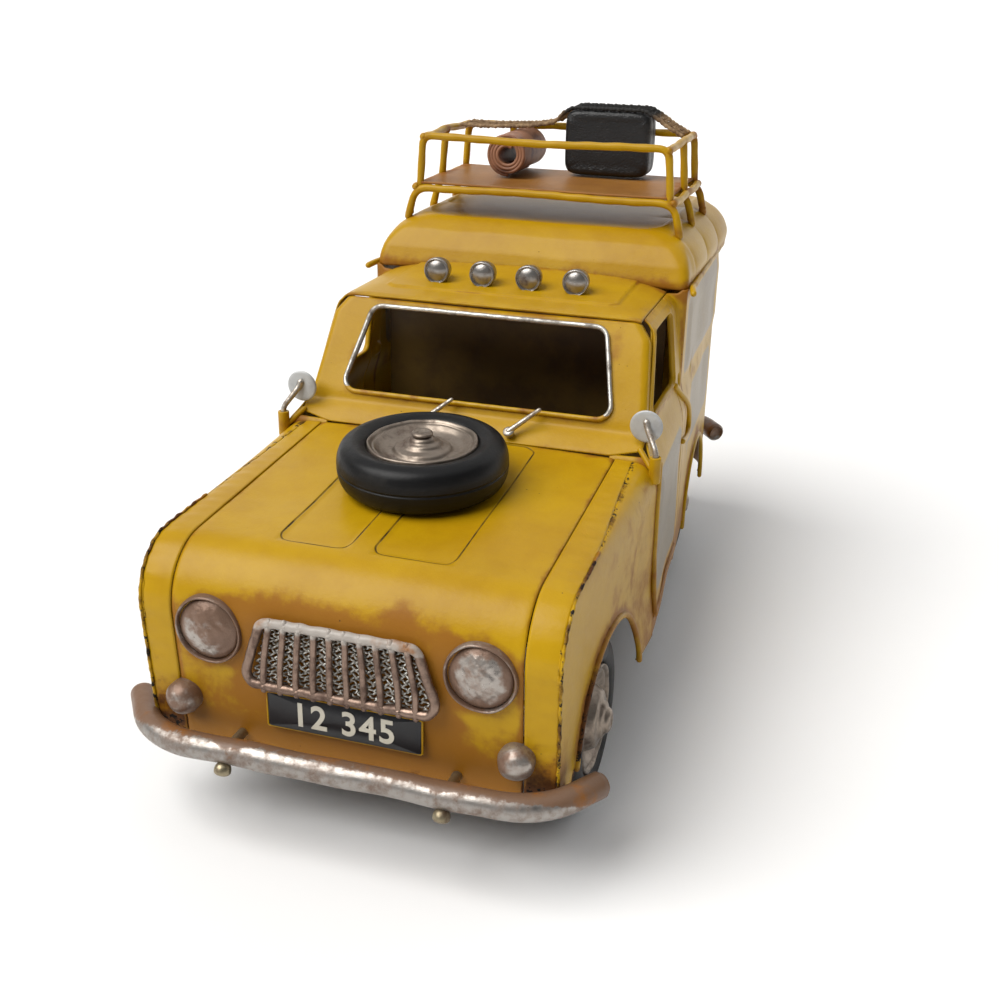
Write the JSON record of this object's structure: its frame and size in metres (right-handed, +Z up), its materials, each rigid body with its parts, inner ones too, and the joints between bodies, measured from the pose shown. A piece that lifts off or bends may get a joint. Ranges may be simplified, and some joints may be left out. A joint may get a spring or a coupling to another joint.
{
  "type": "tin toy van",
  "caption": "Friction-drive tin van with separate body panels, geared flywheel, rolling wheels, swivelling mirrors, spare wheel and loaded roof rack",
  "frame": {"origin": "on the ground, at the middle of the car's overall length and width", "axes": "+Z up, the front of the car faces -Y, +X is the car's left side"},
  "size_m": [0.1514, 0.309, 0.1891],
  "materials": {
    "body_paint": "mustard-yellow brushed enamel with a brown wash, scuffed at edges and seams",
    "brown_paint": "dark red-brown matt enamel with rust",
    "dark_tin": "blackened tinplate",
    "bare_steel": "drawn steel wire rod",
    "antique_silver": "silver enamel with a brown rust wash rubbed into the recesses",
    "brass": "dull brass",
    "lead_grey": "cast grey metal",
    "tyre_rubber": "moulded black rubber, semi-gloss, with a mid seam",
    "grille_wire": "crimped wire gauze, tarnished",
    "plate_enamel": "black enamel with pale figures and a thin yellow edge",
    "red_enamel": "red enamel",
    "mirror_grey": "pale blue-grey painted disc on a silver stalk",
    "case_leather": "black grained case with rounded edges",
    "mat_copper": "copper-brown rolled mat",
    "net_string": "knotted luggage net of thin string"
  },
  "bodies": {
    "car_body": {"chassis_plate": "dark_tin", "axle_hangers": "dark_tin", "axle_bushes": "brass", "motor_plates": "dark_tin", "motor_spacers": "bare_steel", "bonnet_panel": "body_paint", "left_fender": "body_paint", "right_fender": "body_paint", "cowl_panel": "body_paint", "windscreen_frame": "body_paint", "windscreen_bead": "antique_silver", "cab_roof": "body_paint", "left_door": "body_paint", "right_door": "body_paint", "left_body_side": "body_paint", "right_body_side": "body_paint", "box_roof": "body_paint", "box_bulkhead": "brown_paint", "rear_panel": "body_paint", "gutter_beads": "body_paint", "dash_shelf": "brown_paint", "body_screws": "bare_steel", "front_bumper": "antique_silver", "rear_bumper": "antique_silver", "bumper_brackets": "brass", "grille_frame": "antique_silver", "grille_mesh": "grille_wire", "number_plates": "plate_enamel", "headlight_bezels": "antique_silver", "headlight_lenses": "antique_silver", "fog_lamps": "antique_silver", "roof_lamps": "antique_silver", "tail_lamps": "red_enamel", "mirror_sockets": "body_paint", "wipers": "antique_silver", "spare_tyre": "tyre_rubber", "spare_rim": "antique_silver", "spare_bolt": "antique_silver", "roof_rack": "body_paint", "rack_deck": "brown_paint", "suitcase": "case_leather", "rolled_mat": "mat_copper", "luggage_net": "net_string"},
    "front_wheels": {"front_axle": "bare_steel", "front_left_tyre": "tyre_rubber", "front_right_tyre": "tyre_rubber", "front_left_rim": "antique_silver", "front_right_rim": "antique_silver"},
    "rear_wheels": {"rear_axle": "bare_steel", "rear_left_tyre": "tyre_rubber", "rear_right_tyre": "tyre_rubber", "rear_left_rim": "antique_silver", "rear_right_rim": "antique_silver", "axle_gear": "brass"},
    "idler": {"idler_shaft": "bare_steel", "idler_gear": "brass"},
    "flywheel_rotor": {"flywheel_arbor": "bare_steel", "flywheel": "lead_grey"},
    "left_mirror_head": {"left_mirror": "mirror_grey"},
    "right_mirror_head": {"right_mirror": "mirror_grey"}
  },
  "joints": [
    {"name": "front_axle_spin", "type": "hinge", "parent": "car_body", "child": "front_wheels", "pos_m": [0, -0.0925, 0.0265], "axis": [1, 0, 0], "continuous": true},
    {"name": "rear_axle_spin", "type": "hinge", "parent": "car_body", "child": "rear_wheels", "pos_m": [0, 0.0875, 0.0265], "axis": [1, 0, 0], "continuous": true},
    {"name": "idler_spin", "type": "hinge", "parent": "car_body", "child": "idler", "pos_m": [0, 0.07003, 0.03085], "axis": [1, 0, 0], "continuous": true},
    {"name": "flywheel_spin", "type": "hinge", "parent": "car_body", "child": "flywheel_rotor", "pos_m": [0, 0.05203, 0.03085], "axis": [1, 0, 0], "continuous": true},
    {"name": "left_mirror_swivel", "type": "hinge", "parent": "car_body", "child": "left_mirror_head", "pos_m": [0.0655, -0.043, 0.09], "axis": [0, 0, 1], "range_deg": [-35, 35]},
    {"name": "right_mirror_swivel", "type": "hinge", "parent": "car_body", "child": "right_mirror_head", "pos_m": [-0.0655, -0.043, 0.09], "axis": [0, 0, 1], "range_deg": [-35, 35]}
  ],
  "couplings": [
    {"joint": "idler_spin", "follows": "rear_axle_spin", "ratio": -2},
    {"joint": "flywheel_spin", "follows": "rear_axle_spin", "ratio": 4}
  ]
}
